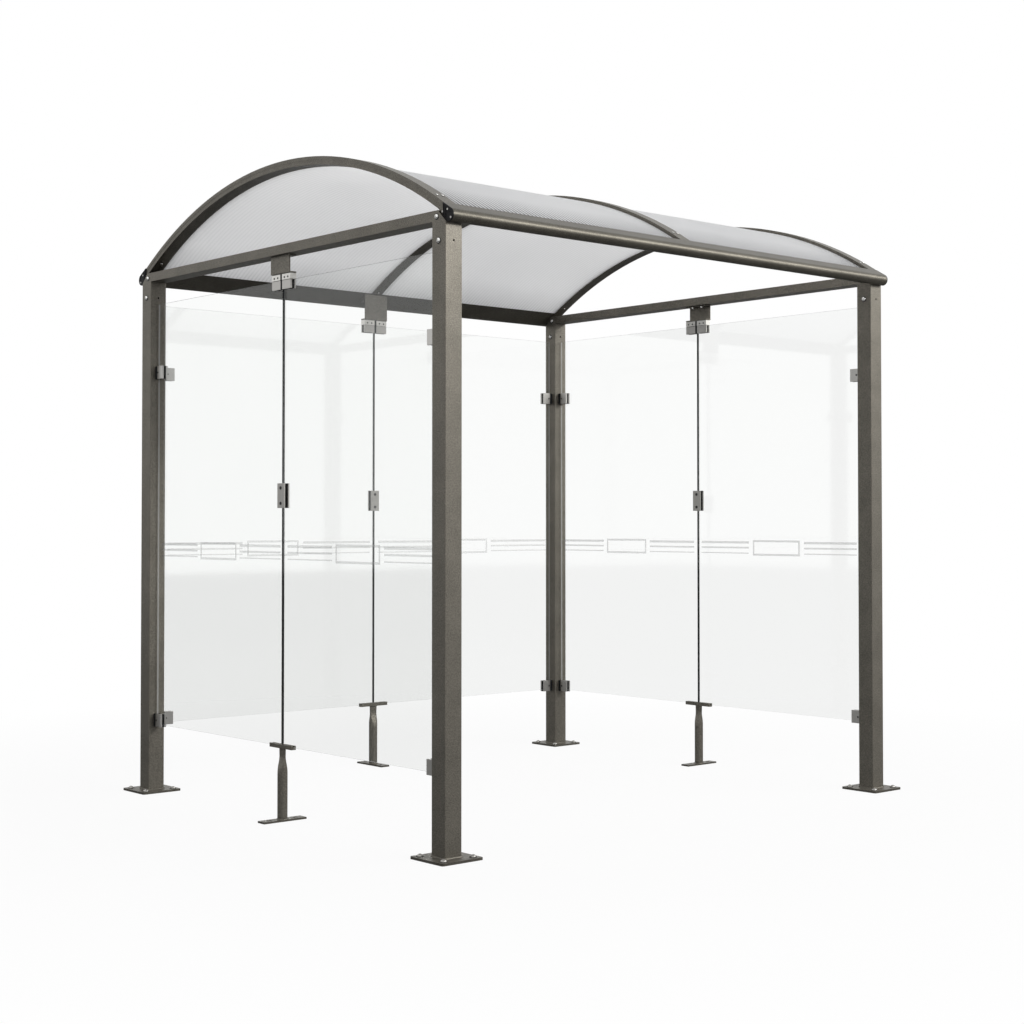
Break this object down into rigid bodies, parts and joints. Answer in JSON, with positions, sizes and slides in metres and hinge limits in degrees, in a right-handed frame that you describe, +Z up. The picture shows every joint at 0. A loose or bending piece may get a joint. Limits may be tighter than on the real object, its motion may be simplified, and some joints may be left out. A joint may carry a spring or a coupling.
{
  "type": "glazed bicycle shelter with a barrel vault roof",
  "caption": "Open-fronted bicycle shelter: square painted posts, curved translucent roof panels on arches, glass end and back walls held by steel clamps.",
  "frame": {"origin": "centre of the rectangle of posts, on the ground", "axes": "+X along the roof vault, to the right when looking in from the open front; +Y from the open front to the glazed back; +Z up"},
  "size_m": [2.766, 2.385, 2.7618],
  "materials": {
    "frame_paint": "fine-textured metallic grey-brown powder coat",
    "roof_frame_paint": "fine-textured metallic grey-brown powder coat on extruded aluminium",
    "roof_panel": "translucent multiwall sheet with fine flutes along the curve",
    "glass": "clear toughened glass with polished edges",
    "clip_steel": "satin stainless steel",
    "black_cap": "matte black moulding",
    "seal": "matte dark rubber"
  },
  "bodies": {
    "root": {"post_front_left": "frame_paint", "post_front_right": "frame_paint", "post_back_left": "frame_paint", "post_back_right": "frame_paint", "base_plate_front_left": "frame_paint", "base_plate_front_right": "frame_paint", "base_plate_back_left": "frame_paint", "base_plate_back_right": "frame_paint", "tie_beam_left": "frame_paint", "tie_beam_right": "frame_paint", "arch_left": "roof_frame_paint", "arch_middle": "roof_frame_paint", "arch_right": "roof_frame_paint", "roof_panel_left": "roof_panel", "roof_panel_right": "roof_panel", "eave_front": "roof_frame_paint", "eave_back": "roof_frame_paint", "eave_caps_front": "black_cap", "eave_caps_back": "black_cap", "glass_left_front": "glass", "glass_left_back": "glass", "glass_back_left": "glass", "glass_back_right": "glass", "glass_right_back": "glass", "glass_right_front": "glass", "joint_seals": "seal", "hanger_left": "frame_paint", "hanger_back": "frame_paint", "hanger_right": "frame_paint", "top_clips_left": "clip_steel", "top_clips_back": "clip_steel", "top_clips_right": "clip_steel", "post_clamps_left_front": "clip_steel", "post_clamps_left_back": "clip_steel", "post_clamps_back_left": "clip_steel", "post_clamps_back_right": "clip_steel", "post_clamps_right_back": "clip_steel", "post_clamps_right_front": "clip_steel", "joint_clamp_left": "clip_steel", "joint_clamp_back": "clip_steel", "joint_clamp_right": "clip_steel", "foot_left": "frame_paint", "foot_back": "frame_paint", "foot_right": "frame_paint"}
  },
  "joints": []
}
